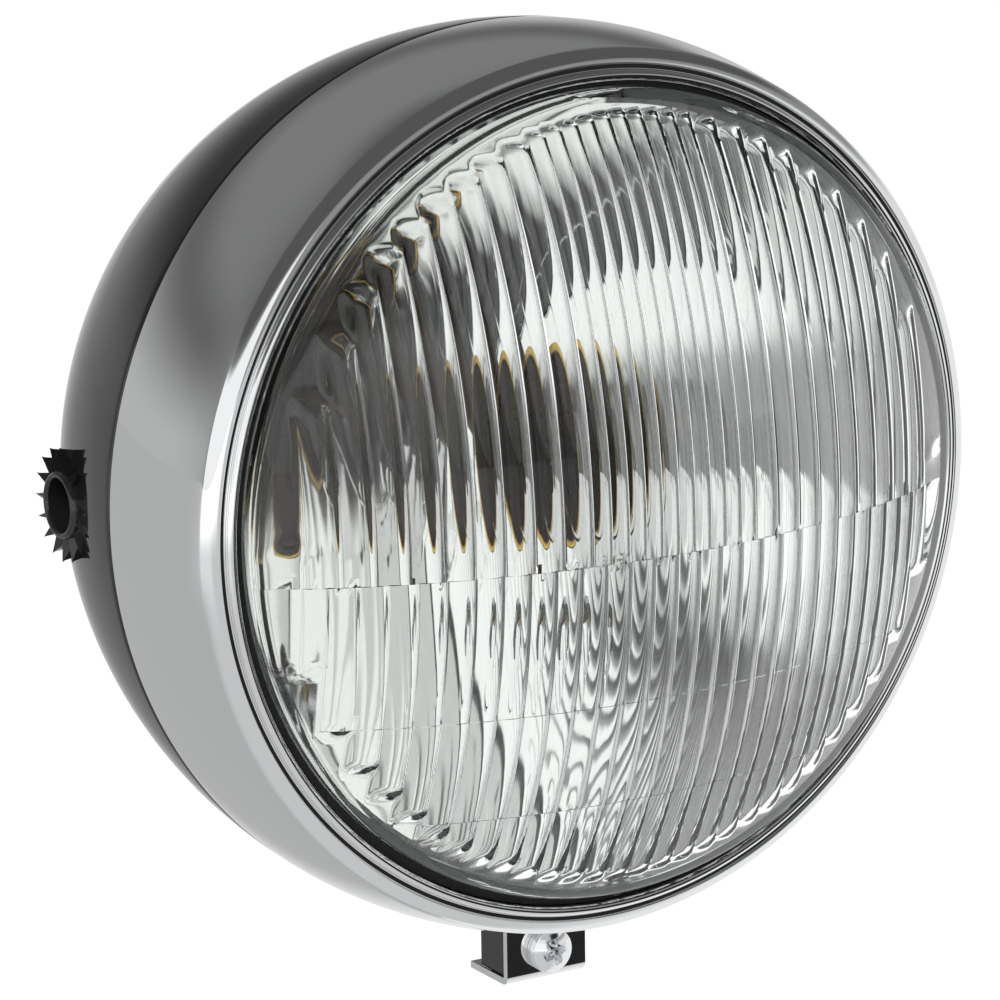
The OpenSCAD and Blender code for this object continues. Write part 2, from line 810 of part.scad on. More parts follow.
housing();
trim_ring();
ring_bracket();
ring_hook();
clamp_screw();
spring_washer();
clamp_nut();
rim_gasket();
lens();
lens_seal();
reflector();
insert_clips();
bulb_collar();
main_bulb();
bulb_stem();
bulb_cap();
bulb_socket();
socket_contacts();
bulb_retainer();
parking_bulb();
parking_bulb_cap();
parking_holder();
pivot_nuts();
cable_grommet();
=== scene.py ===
import math

import bpy
import numpy as np
from mathutils import Matrix, Vector


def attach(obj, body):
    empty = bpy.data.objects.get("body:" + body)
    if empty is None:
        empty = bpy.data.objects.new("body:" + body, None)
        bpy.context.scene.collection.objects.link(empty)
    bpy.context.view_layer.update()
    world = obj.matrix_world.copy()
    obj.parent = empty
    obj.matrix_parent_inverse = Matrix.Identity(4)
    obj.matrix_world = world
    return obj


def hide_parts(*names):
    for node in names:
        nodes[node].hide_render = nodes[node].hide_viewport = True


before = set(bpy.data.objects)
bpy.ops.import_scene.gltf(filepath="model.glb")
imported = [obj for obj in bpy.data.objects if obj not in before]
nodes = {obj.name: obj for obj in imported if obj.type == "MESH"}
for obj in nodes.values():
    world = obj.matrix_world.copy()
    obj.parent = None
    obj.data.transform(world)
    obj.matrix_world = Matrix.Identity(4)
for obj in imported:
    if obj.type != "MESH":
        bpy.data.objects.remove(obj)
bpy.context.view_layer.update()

scene = bpy.context.scene
scene.view_settings.view_transform = "Standard"


# Housing: the bowl is one glossy black moulding. Its side is an arc that closes into a
# rounded back, and its open edge is a small bright step just behind the trim ring.
MM = 0.001
SETBACK = 48.3
RING_R = 77.53
RING_DEPTH = 28.2
BOWL_DEPTH = 104.0
BOWL_R = 97.0
BACK_R = 36.0
BOWL_Y = 24.8
WALL = 2.5
STEP_R = 1.2


def arc(centre, radius, start, end, count):
    """Points (radius from the lamp's axis, depth) on a circle, from angle start to end in
    degrees, where 0 points outwards and 90 points backwards."""
    a = np.radians(np.linspace(start, end, count))
    return np.stack([centre[0] + radius * np.cos(a), centre[1] + radius * np.sin(a)], axis=1)


def mesh_piece(name, points, faces, finish, slot, *replaced, edge_angle):
    """A smooth mesh object in metres that rides on the lamp and stands for the CAD node named,
    with every edge above the angle kept sharp. points is an array of x, y, z in mm, and faces
    an array of vertex numbers."""
    mesh = bpy.data.meshes.new(name)
    mesh.from_pydata(np.asarray(points, dtype=float) * MM, [], faces)
    mesh.materials.append(finish)
    mesh.polygons.foreach_set("use_smooth", np.full(len(mesh.polygons), True))
    mesh.set_sharp_from_angle(angle=math.radians(edge_angle))
    mesh.validate()
    piece = bpy.data.objects.new(name, mesh)
    scene.collection.objects.link(piece)
    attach(piece, "root")
    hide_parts(*replaced)
    return piece


def revolve(profile, count):
    """A closed profile of (radius, depth behind the rim plane) carried round the lamp's axis:
    x = r cos a, z = r sin a, y = depth less the setback. Returns points and quads."""
    profile = np.asarray(profile, dtype=float)
    n = len(profile)
    a = np.linspace(0, 2 * np.pi, count, endpoint=False)
    r, y = profile[:, 0][None, :], profile[:, 1][None, :]
    points = np.stack([r * np.cos(a)[:, None], np.repeat(y, count, 0) - SETBACK,
                       r * np.sin(a)[:, None]], axis=2).reshape(-1, 3)
    i = np.arange(count)[:, None] * n
    j = (np.arange(count)[:, None] + 1) % count * n
    k, m = np.arange(n)[None, :], (np.arange(n)[None, :] + 1) % n
    quads = np.stack([i + k, i + m, j + m, j + k], axis=2).reshape(-1, 4)
    return points, quads


def material(name, colour, roughness, metallic=0.0, **sockets):
    """A Principled material with its uniform values on the shader's own sockets."""
    m = bpy.data.materials.new(name)
    m.use_nodes = True
    shader = m.node_tree.nodes["Principled BSDF"]
    shader.inputs["Base Color"].default_value = (*colour, 1.0)
    shader.inputs["Metallic"].default_value = metallic
    shader.inputs["Roughness"].default_value = roughness
    for key, value in sockets.items():
        shader.inputs[key.replace("_", " ")].default_value = value
    return m, m.node_tree, shader


def grain(tree, shader, scale, strength, distance, spread=None, detail=3.0, stretch=(1, 1, 1)):
    """A fine unevenness: noise on Object coordinates, fed to the shader's normal as bump. Where
    a spread is given, the roughness follows the same noise from its low to its high value."""
    where = tree.nodes.new("ShaderNodeTexCoord")
    place = tree.nodes.new("ShaderNodeMapping")
    place.inputs["Scale"].default_value = stretch
    noise = tree.nodes.new("ShaderNodeTexNoise")
    noise.inputs["Scale"].default_value = scale
    noise.inputs["Detail"].default_value = detail
    bump = tree.nodes.new("ShaderNodeBump")
    bump.inputs["Strength"].default_value = strength
    bump.inputs["Distance"].default_value = distance
    tree.links.new(where.outputs["Object"], place.inputs["Vector"])
    tree.links.new(place.outputs["Vector"], noise.inputs["Vector"])
    tree.links.new(noise.outputs["Fac"], bump.inputs["Height"])
    tree.links.new(bump.outputs["Normal"], shader.inputs["Normal"])
    if spread is None:
        return
    rough = tree.nodes.new("ShaderNodeMapRange")
    rough.inputs["From Min"].default_value = 0.3
    rough.inputs["From Max"].default_value = 0.7
    rough.inputs["To Min"].default_value = spread[0]
    rough.inputs["To Max"].default_value = spread[1]
    tree.links.new(noise.outputs["Fac"], rough.inputs["Value"])
    tree.links.new(rough.outputs["Result"], shader.inputs["Roughness"])


bowl_black, tree, shader = material("bowl_black", (0.018, 0.018, 0.02), roughness=0.08, IOR=1.6)
grain(tree, shader, 700, 0.05, 0.0002, spread=(0.03, 0.07))

MOUTH_Y = RING_DEPTH + 0.3
SPIGOT_R, SPIGOT_L = 76.42, 6.0
CABLE_HOLE_R = 7.0
bowl_c = (RING_R - 0.1 - BOWL_R, BOWL_Y)
mouth_a = math.degrees(math.asin((MOUTH_Y + STEP_R - BOWL_Y) / BOWL_R))
back_a = math.degrees(math.asin((BOWL_DEPTH - BACK_R - BOWL_Y) / (BOWL_R - BACK_R)))
back_c = (bowl_c[0] + (BOWL_R - BACK_R) * math.cos(math.radians(back_a)), BOWL_DEPTH - BACK_R)


def bowl_path(inset, side, back):
    """The bowl's side and rounded back at a depth inside its outer face, with the numbers of
    points on the two arcs."""
    return np.concatenate([arc(bowl_c, BOWL_R - inset, mouth_a, back_a, side),
                           arc(back_c, BACK_R - inset, back_a, 90, back)[1:]])


mouth_r = bowl_path(0, 2, 2)[0, 0]
bowl_profile = np.concatenate([
    [[SPIGOT_R - WALL, MOUTH_Y - SPIGOT_L], [SPIGOT_R, MOUTH_Y - SPIGOT_L], [SPIGOT_R, MOUTH_Y]],
    arc((mouth_r - STEP_R, MOUTH_Y + STEP_R), STEP_R, -90, 0, 12)[:-1],
    bowl_path(0, 90, 60),
    [[CABLE_HOLE_R, BOWL_DEPTH], [CABLE_HOLE_R, BOWL_DEPTH - WALL]],
    bowl_path(WALL, 24, 16)[::-1],
    [[SPIGOT_R - WALL, MOUTH_Y + STEP_R + 1]],
])


def outline(radius, sides, angles):
    """Distance from the middle to a circle's edge, or to the edge of a regular polygon that
    has the radius as half its width across the flats, at each angle in degrees."""
    if sides == 0:
        return np.full(len(angles), float(radius))
    turn = np.mod(angles, 360 / sides) - 180 / sides
    return radius / np.cos(np.radians(turn))


def loft(loops, open_ended=False):
    """Quads between closed loops of points, all with the same count, each joined to the next,
    and the last to the first unless open_ended."""
    n, count = len(loops), len(loops[0])
    last = n - 1 if open_ended else n
    i, k = np.arange(last)[:, None], np.arange(count)[None, :]
    j, m = (i + 1) % n, (k + 1) % count
    quads = np.stack([i * count + k, j * count + k, j * count + m, i * count + m], axis=2)
    return np.concatenate(loops), quads.reshape(-1, 4)


def mirrored(points, faces):
    """The same piece on the other side of the lamp, with its faces turned round."""
    return points * [-1, 1, 1], np.asarray(faces)[:, ::-1]


def joined(*parts):
    """Several closed shells in one mesh."""
    starts = np.cumsum([0] + [len(p) for p, _ in parts[:-1]])
    return (np.concatenate([p for p, _ in parts]),
            [list(face) for (_, faces), start in zip(parts, starts) for face in faces + start])


def cut_away(piece, points, faces):
    """Takes a closed cutting shape, in mm, out of a piece, and keeps the result as its mesh."""
    mesh = bpy.data.meshes.new("cutter")
    mesh.from_pydata(points * MM, [], faces)
    cutter = bpy.data.objects.new("cutter", mesh)
    scene.collection.objects.link(cutter)
    cut = piece.modifiers.new("cut", "BOOLEAN")
    cut.operation = "DIFFERENCE"
    cut.solver = "EXACT"
    cut.object = cutter
    bpy.context.view_layer.update()
    whole = piece.evaluated_get(bpy.context.evaluated_depsgraph_get())
    result = bpy.data.meshes.new_from_object(whole)
    piece.modifiers.clear()
    piece.data = result
    result.set_sharp_from_angle(angle=math.radians(40))
    bpy.data.objects.remove(cutter)


def bar(radius, start, end, axis, centre=(0.0, 0.0)):
    """A closed round bar along x or y, from start to end, about a centre given by the two
    other coordinates: circles at both ends, filled with one face each."""
    count = 64
    a = np.linspace(0, 2 * np.pi, count, endpoint=False)
    p, q = centre[0] + radius * np.cos(a), centre[1] + radius * np.sin(a)
    loops = [np.stack([np.full(count, t), p, q] if axis == "x" else [q, np.full(count, t), p],
                      axis=1) for t in (start, end)]
    points, quads = loft(loops, open_ended=True)
    return points, ([list(quad) for quad in quads]
                    + [list(range(count)), list(range(2 * count - 1, count - 1, -1))])


PIVOT_HOLE_R, PIVOT_HOLE_X = 5.2, (60.0, 90.0)
bowl = mesh_piece("bowl", *revolve(bowl_profile, 320), bowl_black, "bowl", "housing",
                  edge_angle=40)
for side in (-1, 1):
    cut_away(bowl, *bar(PIVOT_HOLE_R, side * PIVOT_HOLE_X[0], side * PIVOT_HOLE_X[1], "x"))

# Pivot bosses: a tube with the captive nut's pocket behind it, a thin rounded hub in front,
# and a crown of ratchet teeth. Each tooth rises along a hollow curve and drops at its flank.
BOSS_X, HUB_X = 74.54, 77.35
NUT_FACE_X, POCKET_X = 69.54, 62.54
BORE_R, HUB_R, BOSS_R = 4.5, 5.8, 10.5
NUT_HALF = 6.7
TEETH, TOOTH_TURN = 16, 1.4
TOOTH_ROOT_R, TOOTH_TIP_R, CREST_X, VALLEY_X = 6.5, 9.8, 76.6, 74.5

hub_a = np.arange(96) * 3.75
hub_loops = [(BORE_R, 0, NUT_FACE_X), (BORE_R, 0, HUB_X - 0.7), (BORE_R + 0.08, 0, HUB_X - 0.35),
             (BORE_R + 0.3, 0, HUB_X - 0.1), (BORE_R + 0.62, 0, HUB_X),
             (BORE_R + 0.95, 0, HUB_X - 0.12), (HUB_R - 0.1, 0, HUB_X - 0.45),
             (HUB_R, 0, HUB_X - 0.9), (HUB_R + 0.5, 0, BOSS_X - 3.8), (BOSS_R, 0, BOSS_X - 3.9),
             (BOSS_R, 0, POCKET_X), (NUT_HALF, 6, POCKET_X), (NUT_HALF, 6, NUT_FACE_X)]
sin_h, cos_h = np.sin(np.radians(hub_a)), np.cos(np.radians(hub_a))
boss = loft([np.stack([np.full(len(hub_a), x), outline(r, sides, hub_a) * sin_h,
                       -outline(r, sides, hub_a) * cos_h], axis=1)
             for r, sides, x in hub_loops])
mesh_piece("pivot_hubs", *joined(boss, mirrored(*boss)), bowl_black, "bowl", "housing",
           edge_angle=40)

TOOTH_BASE_X, INNER_VALLEY_X = BOSS_X - 3.6, HUB_X - 1.9
rise = np.linspace(0, 1, 9)
tooth_a = np.radians((np.arange(TEETH)[:, None] + rise[None, :]) * 360 / TEETH
                     + TOOTH_TURN).ravel()
u = np.tile(rise, TEETH)
tip_r = TOOTH_ROOT_R + (TOOTH_TIP_R - TOOTH_ROOT_R) * u ** 2.4
tip_x = VALLEY_X + (CREST_X - VALLEY_X) * u ** 1.6
inner_r, inner_x = np.full(len(u), HUB_R - 0.3), INNER_VALLEY_X + u ** 1.4
base_x = np.full(len(u), TOOTH_BASE_X)
crown_rings = [(inner_r, base_x), (inner_r, inner_x),
               ((tip_r + HUB_R) / 2, (tip_x + inner_x) / 2 - 0.15 * (1 - u)),
               (tip_r, tip_x),
               (tip_r - 0.25, tip_x - 0.5),
               (np.minimum(tip_r, TOOTH_ROOT_R + 2.0), base_x)]
crown = loft([np.stack([x, r * np.sin(tooth_a), -r * np.cos(tooth_a)], axis=1)
              for r, x in crown_rings])
mesh_piece("pivot_teeth", *joined(crown, mirrored(*crown)), bowl_black, "bowl", "housing",
           edge_angle=35)

# Clamp block: a plain block under the bowl, moulded with it, with a bore for the screw and a
# six-sided pocket for the nut.
SCREW_Z = RING_R + 6.4
BLOCK_Y, BLOCK_L, BLOCK_HALF, NUT_Y = 22.1, 8.5, 7.5, 25.9
BLOCK_TOP, BLOCK_FOOT, BLOCK_EDGE = 11.0, 4.3, 0.25
SCREW_BORE_R, CLAMP_NUT_HALF = 2.4, 3.7
corner_angles = np.degrees(np.arctan2([BLOCK_TOP, BLOCK_TOP, -BLOCK_FOOT, -BLOCK_FOOT],
                                      [BLOCK_HALF, -BLOCK_HALF, -BLOCK_HALF, BLOCK_HALF]))
block_a = np.unique(np.concatenate([np.arange(-180, 180, 5.0), np.round(corner_angles, 6)]))
cos_b, sin_b = np.cos(np.radians(block_a)), np.sin(np.radians(block_a))
block_edge = np.minimum(BLOCK_HALF / np.maximum(np.abs(cos_b), 1e-6),
                        np.where(sin_b > 0, BLOCK_TOP, BLOCK_FOOT)
                        / np.maximum(np.abs(sin_b), 1e-6))
screw_bore = outline(SCREW_BORE_R, 0, block_a)
nut_pocket = outline(CLAMP_NUT_HALF, 6, block_a)
block_loops = [(screw_bore, BLOCK_Y), (block_edge - BLOCK_EDGE, BLOCK_Y),
               (block_edge, BLOCK_Y + BLOCK_EDGE), (block_edge, BLOCK_Y + BLOCK_L - BLOCK_EDGE),
               (block_edge - BLOCK_EDGE, BLOCK_Y + BLOCK_L), (nut_pocket, BLOCK_Y + BLOCK_L),
               (nut_pocket, NUT_Y), (screw_bore, NUT_Y)]
block = loft([np.stack([r * cos_b, np.full(len(block_a), y - SETBACK), r * sin_b - SCREW_Z],
                       axis=1)
              for r, y in block_loops])
mesh_piece("clamp_block", *block, bowl_black, "bowl", "housing", edge_angle=30)


# Trim ring: thin steel sheet, drawn over the glass, rolled to a bead and chromed.
BEAD_C = (70.25, -0.35)
BEAD_R = 0.85
CORNER_C = (71.9, 2.8)
CORNER_R = 3.0
FLANK_R = 82.0
FLANK_C = (RING_R - FLANK_R, 23.0)
SHEET = 0.7
LIP_R = 69.4
NOTCH_Y, NOTCH_HALF = 20.7, 8.6


def ring_profile(rear):
    """Section of the ring from its hem over the bead, the crease, the front corner and the
    swelling side to a rear edge at the depth given, and back inside the sheet."""
    corner_end = math.degrees(math.atan2(CORNER_C[1] - FLANK_C[1], CORNER_C[0] - FLANK_C[0]))
    rear_end = math.degrees(math.asin((rear - FLANK_C[1]) / FLANK_R))
    return np.concatenate([
        [[LIP_R, 3.0], [LIP_R, 1.4]],
        arc(BEAD_C, BEAD_R, 180, 345, 34),
        [[71.12, -0.2], [71.17, 0.0], [71.24, 0.07], [71.32, 0.1], [71.42, 0.1], [71.92, 0.1],
         [72.02, 0.09], [72.1, 0.05], [72.16, -0.03]],
        arc(CORNER_C, CORNER_R, 276, 360 + corner_end, 40),
        arc(FLANK_C, FLANK_R, corner_end, rear_end, 70)[1:],
        arc(FLANK_C, FLANK_R - SHEET, rear_end, corner_end, 24),
        arc(CORNER_C, CORNER_R - SHEET, 360 + corner_end, 275, 10)[1:],
        arc((BEAD_C[0], BEAD_C[1] + 1.2), BEAD_R - 0.3, 350, 180, 8),
        [[LIP_R + 0.4, 1.4], [LIP_R + 0.4, 3.0]],
    ])


# The ring is carried round in 400 columns. Between two pairs of close columns at the bottom,
# it ends sooner, which leaves the notch for the bracket.
half_notch = math.degrees(math.asin(NOTCH_HALF / RING_R))
sides = [270 - half_notch, 270 + half_notch]
angles = np.sort(np.concatenate([np.arange(400) * 0.9 + 0.07,
                                 [sides[0] - 0.005, sides[0] + 0.005,
                                  sides[1] - 0.005, sides[1] + 0.005]]))
in_notch = (np.abs(angles - 270) < half_notch)[:, None, None]
section = np.where(in_notch, ring_profile(NOTCH_Y)[None], ring_profile(RING_DEPTH)[None])
turned = np.radians(angles)[:, None]
ring_loops = np.stack([section[:, :, 0] * np.cos(turned), section[:, :, 1] - SETBACK,
                       section[:, :, 0] * np.sin(turned)], axis=2)
chrome, tree, shader = material("chrome", (0.86, 0.87, 0.88), metallic=1.0, roughness=0.02)
grain(tree, shader, 30, 0.015, 0.001, stretch=(1, 5, 1), spread=(0.015, 0.04))
mesh_piece("ring", *loft(list(ring_loops)), chrome, "chrome", "trim_ring", edge_angle=40)


# Ring bracket: an angle of the same sheet, welded under the ring and chromed with it. The clamp
# screw pulls it to the block on the bowl.
def finish_nodes(finish, *names):
    """Puts one material on every slot of the CAD nodes named."""
    for name in names:
        for m in range(len(nodes[name].data.materials)):
            nodes[name].data.materials[m] = finish


finish_nodes(chrome, "ring_bracket")


# Spring washer, nuts, ring hook, insert clips, bulb retainer and parking holder: pressed or
# turned steel, zinc plated, faintly brushed by the tumbling.
zinc, tree, shader = material("zinc", (0.72, 0.73, 0.74), metallic=1.0, roughness=0.25)
grain(tree, shader, 900, 0.1, 0.0002, spread=(0.18, 0.35))
finish_nodes(zinc, "spring_washer", "clamp_nut", "ring_hook", "insert_clips",
             "bulb_retainer", "parking_holder", "pivot_nuts")


# Clamp screw: a domed pan head with a deep cross recess whose wings taper to the bottom, on a
# plain shank that runs through the block into the nut. Its zinc is the brightest.
HEAD_Y, HEAD_FRONT, HEAD_R, CROWN_R = 19.7, 17.3, 4.0, 6.0
SHANK_R, SHANK_END = 2.0, 31.2
WING_L, WING_W, RECESS = 2.35, 1.15, 1.7
WING_TAPER, WING_EDGE = 0.9, 0.3
CROSS_TURN = 20.0

screw_a = np.linspace(0, 2 * np.pi, 240, endpoint=False)[None, :]
reach = np.linspace(0.02, HEAD_R - 0.3, 70)[:, None]
head_p = reach * np.cos(screw_a - math.radians(CROSS_TURN))
head_q = reach * np.sin(screw_a - math.radians(CROSS_TURN))


def wing(along, across):
    """Depth of one wing of the recess: full in the middle, falling off to its end and sides."""
    return np.clip(np.minimum((WING_L - np.abs(along)) / WING_TAPER,
                              (WING_W / 2 + WING_EDGE / 2 - np.abs(across)) / WING_EDGE), 0, 1)


recess = RECESS * np.maximum(wing(head_p, head_q), wing(head_q, head_p))
face_y = HEAD_FRONT + CROWN_R - np.sqrt(CROWN_R ** 2 - reach ** 2) + recess
head_loops = [np.stack([r * np.cos(screw_a[0]), y, r * np.sin(screw_a[0])], axis=1)
              for r, y in zip(reach[:, 0], face_y)]
rim_y = HEAD_FRONT + CROWN_R - math.sqrt(CROWN_R ** 2 - (HEAD_R - 0.3) ** 2)
for r, y in [(HEAD_R - 0.12, rim_y + 0.1), (HEAD_R, rim_y + 0.35), (HEAD_R, HEAD_Y),
             (SHANK_R, HEAD_Y), (SHANK_R, SHANK_END - 0.4), (SHANK_R - 0.4, SHANK_END),
             (0.02, SHANK_END)]:
    head_loops.append(np.stack([r * np.cos(screw_a[0]), np.full(screw_a.shape[1], y),
                                r * np.sin(screw_a[0])], axis=1))
points, faces = loft(head_loops)
bright_zinc, tree, shader = material("bright_zinc", (0.9, 0.91, 0.93), metallic=1.0,
                                     roughness=0.12)
grain(tree, shader, 500, 0.03, 0.0001, spread=(0.1, 0.16))
mesh_piece("screw", points - [0, SETBACK, SCREW_Z], faces, bright_zinc, "zinc_steel",
           "clamp_screw", edge_angle=35)


# Rim gasket and cable grommet: black rubber, matt, with a little dust in it. The lens seal is
# a pale grey-green sealing compound, which shows through the border of the glass.
rubber, tree, shader = material("rubber", (0.012, 0.012, 0.012), roughness=0.6)
grain(tree, shader, 1500, 0.2, 0.0002, spread=(0.5, 0.75))
finish_nodes(rubber, "rim_gasket", "cable_grommet")
compound, tree, shader = material("sealing_compound", (0.3, 0.34, 0.31), roughness=0.55)
grain(tree, shader, 350, 0.3, 0.0003, spread=(0.45, 0.7))
finish_nodes(compound, "lens_seal")


# Lens: pressed glass, a smooth dome in front and flutes behind, with prism steps and a
# plain border. It sits in the gasket a little high, and turned by less than a degree.
LENS_R = 68.0
DOME_R = 120.0
DOME_Y = 95.0
GLASS_T = 4.5
EDGE_R = 3.5
SEAT_Y = 2.4
FIELD_R = 63.0
SKIRT_R = 64.7
LIFT = 0.4
TURN = -0.8
FINE, WIDE, LOW = 3.06, 4.8, 4.28
FINE_COUNT = 10
CUTOFF, SECOND, THIRD = 5.3, 29.4, 47.6
STEP_T, STEP_HALF = 0.3, 0.04
BORDER_DROP, BORDER_BLEND = 1.2, 0.6
STEPS_PER_FLUTE = 8
FLUTE_DEPTH = {"fine": 0.56, "wide": 1.0, "low": 0.75}


def seat(points):
    """Turns points about the lamp's axis and lifts them, as the insert sits in the ring."""
    t = math.radians(TURN)
    x, y, z = points[:, 0], points[:, 1], points[:, 2]
    return np.stack([x * math.cos(t) + z * math.sin(t), y,
                     -x * math.sin(t) + z * math.cos(t) + LIFT], axis=1)


def flute_x(edges):
    """Columns for the flutes: equal steps across each flute, with its edges among them."""
    t = np.arange(STEPS_PER_FLUTE) / STEPS_PER_FLUTE
    x = (edges[:-1, None] + (edges[1:] - edges[:-1])[:, None] * t[None, :]).ravel()
    return np.concatenate([x, edges[-1:]])


def hollow(x, edges, depths):
    """How deep each flute is at x: a parabola between its two edges, nought at the edges."""
    i = np.clip(np.searchsorted(edges, x, side="right") - 1, 0, len(edges) - 2)
    u = (x - edges[i]) / (edges[i + 1] - edges[i])
    return np.where((x < edges[0]) | (x > edges[-1]), 0, depths[i] * 4 * u * (1 - u))


half = FINE_COUNT * FINE / 2
wide_n = int((FIELD_R + 1 - half) // WIDE)
upper = np.concatenate([-half - WIDE * np.arange(wide_n, 0, -1),
                        -half + FINE * np.arange(FINE_COUNT + 1),
                        half + WIDE * np.arange(1, wide_n + 1)])
upper_depth = np.where(np.abs((upper[:-1] + upper[1:]) / 2) < half,
                       FLUTE_DEPTH["fine"], FLUTE_DEPTH["wide"])
low_n = int((FIELD_R + 1) // LOW)
lower = LOW * np.arange(-low_n, low_n + 1)
lower_depth = np.full(len(lower) - 1, FLUTE_DEPTH["low"])


def rear_depth(x, z, edges, depths, step):
    """Depth of the glass's rear face: a sphere concentric with the dome, less the hollow of
    the flute at x and the step of the band, with a plain sphere outside the field."""
    r2 = x * x + z * z
    sphere = DOME_Y - np.sqrt(np.maximum((DOME_R - GLASS_T) ** 2 - r2, 1))
    i = np.clip(np.searchsorted(edges, x, side="right") - 1, 0, len(edges) - 2)
    far = np.maximum(np.abs(edges[i]), np.abs(edges[i + 1]))
    reach = np.sqrt(np.maximum(FIELD_R ** 2 - far ** 2, 0))
    inside = np.clip((reach + BORDER_BLEND / 2 - np.abs(z)) / BORDER_BLEND, 0, 1)
    inside = np.where((x < edges[0]) | (x > edges[-1]), 0, inside)
    y = sphere + FLUTE_DEPTH["fine"] - hollow(x, edges, depths) + step
    plain = sphere + BORDER_DROP
    return plain + (y - plain) * inside


def band(z_low, z_high, edges, depths, step, rows):
    """One level band of the rear face as rows of (x, y, z), with each row's ends drawn in to
    the skirt's circle."""
    x = flute_x(edges)
    x = np.concatenate([[-SKIRT_R], x[(x > -SKIRT_R) & (x < SKIRT_R)], [SKIRT_R]])
    t_low, t_high = np.arcsin(z_low / SKIRT_R), np.arcsin(z_high / SKIRT_R)
    z = SKIRT_R * np.sin(np.linspace(t_low, t_high, rows))
    width = np.sqrt(np.maximum(SKIRT_R ** 2 - z * z, 0))
    xs = np.clip(x[None, :], -width[:, None], width[:, None])
    zs = np.repeat(z[:, None], len(x), 1)
    return np.stack([xs, rear_depth(xs, zs, edges, depths, step), zs], axis=2)


bands = [
    band(-CUTOFF + STEP_HALF, SKIRT_R, upper, upper_depth, 0.0, 60),
    band(-SECOND + STEP_HALF, -CUTOFF - STEP_HALF, lower, lower_depth, STEP_T, 18),
    band(-THIRD + STEP_HALF, -SECOND - STEP_HALF, lower, lower_depth, 0.0, 16),
    band(-SKIRT_R, -THIRD - STEP_HALF, lower, lower_depth, STEP_T, 20),
]


def grid_faces(rows, cols, start):
    """Triangles over a grid of rows by cols whose vertices start at the number given."""
    a = start + (np.arange(rows - 1)[:, None] * cols + np.arange(cols - 1)[None, :])
    a = a.ravel()
    b, c, d = a + 1, a + cols + 1, a + cols
    return np.concatenate([np.stack([a, b, c], 1), np.stack([a, c, d], 1)])


def weld(points, faces):
    """Joins points that lie on one another to four decimals, and drops the faces that
    shrink to a line with them."""
    unique, back = np.unique(np.round(points, 4), axis=0, return_inverse=True)
    faces = back.ravel()[faces]
    keep = ((faces[:, 0] != faces[:, 1]) & (faces[:, 1] != faces[:, 2])
            & (faces[:, 0] != faces[:, 2]))
    return unique, faces[keep]


def bridge(low, high, start_low, start_high):
    """Triangles between two rows of points that both run from left to right. Each step of
    one row makes a triangle with the point that the other row has reached by then."""
    i, j = np.arange(len(low) - 1), np.arange(len(high) - 1)
    across = np.searchsorted(high[1:, 0], low[1:, 0], side="left")
    below = np.searchsorted(low[1:, 0], high[1:, 0], side="right")
    return np.concatenate([
        np.stack([start_low + i, start_low + i + 1, start_high + across], 1),
        np.stack([start_low + below, start_high + j + 1, start_high + j], 1)])


points, faces, start, starts = [], [], 0, []
for b in bands:
    rows, cols = b.shape[:2]
    points.append(b.reshape(-1, 3))
    faces.append(grid_faces(rows, cols, start))
    starts.append(start)
    start += rows * cols
for upper_band, lower_band in [(0, 1), (1, 2), (2, 3)]:
    rows, cols = bands[lower_band].shape[:2]
    faces.append(bridge(bands[lower_band][-1], bands[upper_band][0],
                        starts[lower_band] + (rows - 1) * cols, starts[upper_band]))
points, faces = weld(np.concatenate(points), np.concatenate(faces)[:, ::-1])

# The rest of the glass: dome, rounded edge, rim and skirt, joined to the fluted face along
# the skirt's circle, where both have the same points.
on_skirt = np.abs(np.hypot(points[:, 0], points[:, 2]) - SKIRT_R) < 0.002
skirt_ids = np.nonzero(on_skirt)[0]
angle = np.arctan2(points[skirt_ids, 2], points[skirt_ids, 0])
order = np.argsort(angle)
skirt_ids, angle = skirt_ids[order], angle[order]
edge_c = np.array([LENS_R - EDGE_R,
                   DOME_Y - math.sqrt((DOME_R - EDGE_R) ** 2 - (LENS_R - EDGE_R) ** 2)])
edge_a = math.degrees(math.atan2(edge_c[1] - DOME_Y, edge_c[0]))
glass_profile = np.concatenate([
    [[SKIRT_R, SEAT_Y]],
    [[LENS_R, SEAT_Y]],
    arc(edge_c, EDGE_R, 0, edge_a, 10),
    arc((0, DOME_Y), DOME_R, edge_a, -89.99, 70)[1:],
])
n, count = len(glass_profile), len(skirt_ids)
rim_points = np.stack([glass_profile[:, 0][None, :] * np.cos(angle)[:, None],
                       np.repeat(glass_profile[:, 1][None, :], count, 0),
                       glass_profile[:, 0][None, :] * np.sin(angle)[:, None]], axis=2)
base = len(points)
i = np.arange(count)[:, None]
j = (i + 1) % count
k = np.arange(n - 1)[None, :]
a, b, c, d = base + i * n + k, base + j * n + k, base + j * n + k + 1, base + i * n + k + 1
rim_faces = np.concatenate([np.stack([a, b, c], 2).reshape(-1, 3),
                            np.stack([a, c, d], 2).reshape(-1, 3)])
i, j = np.arange(count), (np.arange(count) + 1) % count
join = np.concatenate([
    np.stack([skirt_ids[i], skirt_ids[j], base + j * n], 1),
    np.stack([skirt_ids[i], base + j * n, base + i * n], 1)])
points = np.concatenate([points, rim_points.reshape(-1, 3)])
points[:, 1] -= SETBACK
points, faces = weld(points, np.concatenate([faces, rim_faces, join]))

